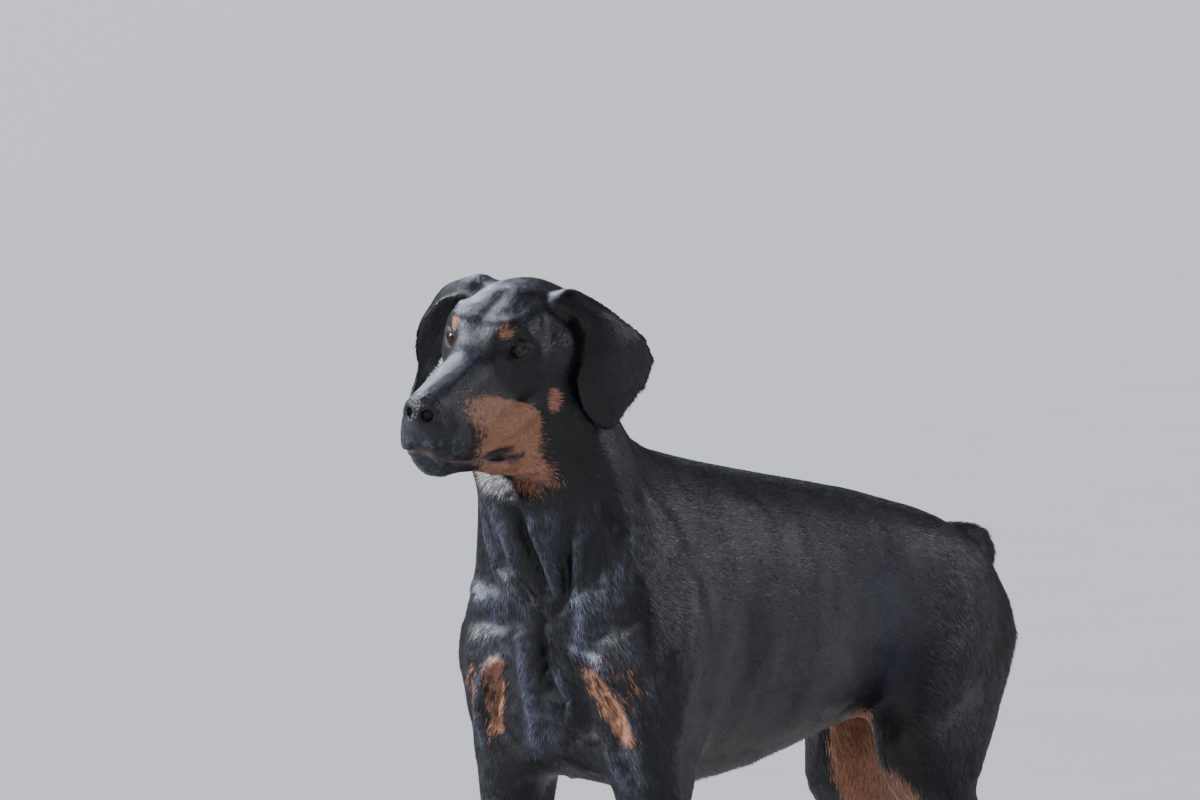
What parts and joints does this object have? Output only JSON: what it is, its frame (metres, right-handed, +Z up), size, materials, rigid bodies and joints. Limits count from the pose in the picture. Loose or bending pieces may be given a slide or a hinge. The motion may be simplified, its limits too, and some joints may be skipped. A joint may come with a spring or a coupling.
{
  "type": "dog",
  "caption": "Life-size standing doberman-type dog, black with rust markings, hanging ears, docked tail, head turned slightly to its left.",
  "frame": {"origin": "on the floor, under the centre of the model's bounding box", "axes": "+X towards the head, +Y towards the dog's left, +Z up"},
  "size_m": [0.962, 0.2306, 0.7998],
  "materials": {
    "coat": "short glossy black coat with rust markings",
    "eye": "wet dark brown eye",
    "nose": "moist pebbled black leather",
    "horn": "smooth dark horn"
  },
  "bodies": {
    "root": {"claw_fore_left_1": "horn", "claw_fore_left_2": "horn", "claw_fore_left_3": "horn", "claw_fore_left_4": "horn", "claw_fore_right_1": "horn", "claw_fore_right_2": "horn", "claw_fore_right_3": "horn", "claw_fore_right_4": "horn", "claw_hind_left_1": "horn", "claw_hind_left_2": "horn", "claw_hind_left_3": "horn", "claw_hind_left_4": "horn", "claw_hind_right_1": "horn", "claw_hind_right_2": "horn", "claw_hind_right_3": "horn", "claw_hind_right_4": "horn", "dewclaw_left": "horn", "dewclaw_right": "horn", "ear_left": "coat", "ear_right": "coat", "eye_left": "eye", "eye_right": "eye", "fore_pastern_left": "coat", "fore_pastern_right": "coat", "fore_paw_left": "coat", "fore_paw_right": "coat", "forearm_left": "coat", "forearm_right": "coat", "head": "coat", "hind_pastern_left": "coat", "hind_pastern_right": "coat", "hind_paw_left": "coat", "hind_paw_right": "coat", "lower_jaw": "coat", "neck": "coat", "nose_leather": "nose", "shank_left": "coat", "shank_right": "coat", "shoulder_left": "coat", "shoulder_right": "coat", "tail": "coat", "thigh_left": "coat", "thigh_right": "coat", "trunk": "coat"}
  },
  "joints": []
}
